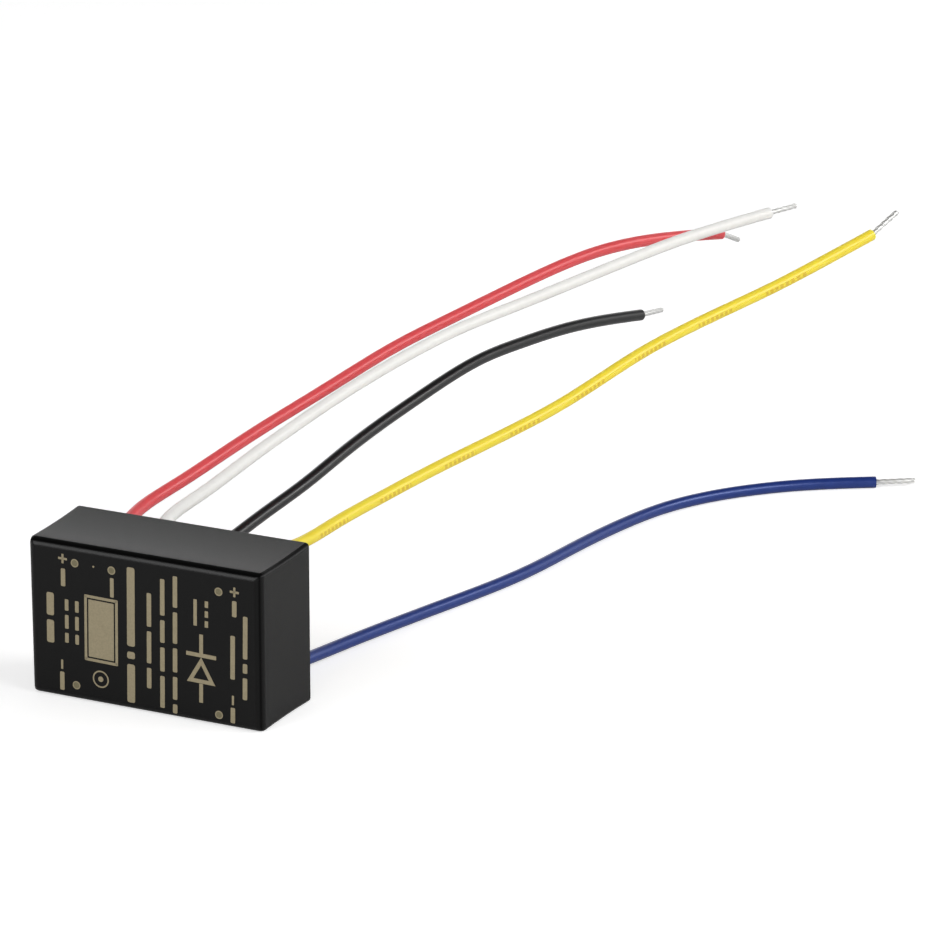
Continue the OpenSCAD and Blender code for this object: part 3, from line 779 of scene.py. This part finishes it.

# Each lead and its bare end get their finishes, ride on the root and hide the part's lead and tip
# that they stand for
for colour, lead in leads.items():
    tip = tips[colour]
    lead.data.materials.append(insulation[colour])
    tip.data.materials.append(tinned_copper)
    for piece, slot, replaced in (
        (lead, colour + "_insulation", colour + "_lead"),
        (tip, "tinned_copper", colour + "_tip"),
    ):
        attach(piece, "root")
        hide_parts(replaced)


# Floor, lights and walls

# What the camera sees of the floor beyond the light that falls on it
FLOOR_GLOW = 0.5
# Each light: place and size in millimetres, and watts
LIGHT_AIM = (10, 40, 10)
LIGHTS = {
    # On the right, long, for the sheen along the leads
    "key_softbox": ((1172, 180, 780), (1500, 360), 13.5),
    # Over the camera
    "front_softbox": ((240, -1280, 1120), (840, 840), 4.5),
    # On the left, broad, for the light on the upper front edge of the case
    "fill_softbox": ((-565, -1220, 645), (800, 1000), 10.4),
}
# Along an axis of the world, from and to, and the strength at each: the wall from the floor up,
# more light behind, which ends higher up, and the band that is mirrored white
WALL_RAMPS = (
    ("Z", 0.2, 0.75, 0.5, 0.06),
    ("Y", 0.3, 0.9, 0.0, 1.05),
    ("Z", 0.22, 0.5, 1.0, 0.0),
    ("Z", 0.05, 0.2, 1.0, 0.0),
)


def see_background(tree, mirrored):
    """1 where the camera sees the background, and a share of it where gloss or glass shows it."""
    path = add(tree, "ShaderNodeLightPath")
    bent = add(
        tree, "ShaderNodeMath", {"operation": "MAXIMUM"},
        {0: path.outputs["Is Glossy Ray"], 1: path.outputs["Is Transmission Ray"]},
    )
    shared = add(
        tree, "ShaderNodeMath", {"operation": "MULTIPLY"}, {0: bent.outputs[0], 1: mirrored}
    )
    seen = add(
        tree, "ShaderNodeMath", {"operation": "MAXIMUM"},
        {0: path.outputs["Is Camera Ray"], 1: shared.outputs[0]},
    )
    return seen.outputs[0]


def lay_floor():
    """Pale grey paper, shown white to the camera, with the object's shadow on it."""
    bpy.ops.object.select_all(action="DESELECT")
    bpy.ops.mesh.primitive_plane_add(size=8)
    floor = name_piece("floor")
    paper, tree, shader, place = start_material("pale_paper_floor")
    shader.inputs["Base Color"].default_value = linear("#e8e8e8")
    shader.inputs["Roughness"].default_value = 0.9
    shader.inputs["Specular IOR Level"].default_value = 0.1
    shader.inputs["Emission Color"].default_value = linear("#ffffff")
    # Mirrored in gloss and metal, the paper is white further off and keeps its shade nearby
    away = add(tree, "ShaderNodeVectorMath", {"operation": "LENGTH"}, Vector=place)
    far = add(
        tree, "ShaderNodeMapRange", {"interpolation_type": "SMOOTHSTEP"},
        Value=away.outputs["Value"], From_Min=0.2, From_Max=0.8,
    )
    glow = add(
        tree, "ShaderNodeMath", {"operation": "MULTIPLY"},
        {0: see_background(tree, far.outputs[0]), 1: FLOOR_GLOW},
    )
    tree.links.new(glow.outputs[0], shader.inputs["Emission Strength"])
    floor.data.materials.append(paper)
    return floor


def hang_light(name, place, size, watts):
    """A soft light of a size at a place, aimed at the object."""
    lamp = bpy.data.lights.new(name, "AREA")
    lamp.shape = "RECTANGLE"
    lamp.size, lamp.size_y = mm(*size)
    lamp.energy = watts
    light = bpy.data.objects.new(name, lamp)
    light.location = mm(*place)
    light.rotation_euler = (Vector(LIGHT_AIM) - Vector(place)).to_track_quat("-Z", "Y").to_euler()
    bpy.context.scene.collection.objects.link(light)


def paint_walls():
    """Studio walls: pale near the floor and dark overhead, and white where the camera sees them."""
    world = bpy.data.worlds.new("studio")
    world.use_nodes = True
    bpy.context.scene.world = world
    tree = world.node_tree
    way = add(
        tree, "ShaderNodeSeparateXYZ",
        Vector=add(tree, "ShaderNodeTexCoord").outputs["Generated"],
    )
    wall, behind, low_down, horizon = (
        add(
            tree, "ShaderNodeMapRange", {"interpolation_type": "SMOOTHSTEP"},
            Value=way.outputs[axis], From_Min=start, From_Max=end, To_Min=first, To_Max=last,
        ).outputs[0]
        for axis, start, end, first, last in WALL_RAMPS
    )
    wash = add(
        tree, "ShaderNodeMath", {"operation": "MULTIPLY_ADD"}, {0: behind, 1: low_down, 2: wall}
    )
    seen = add(
        tree, "ShaderNodeMath", {"operation": "MAXIMUM"},
        {0: wash.outputs[0], 1: see_background(tree, horizon)},
    )
    tree.links.new(seen.outputs[0], tree.nodes["Background"].inputs["Strength"])
    tree.nodes["Background"].inputs["Color"].default_value = linear("#ffffff")


floor = lay_floor()
for name, (place, size, watts) in LIGHTS.items():
    hang_light(name, place, size, watts)
paint_walls()

bpy.context.scene.view_settings.view_transform = "Standard"
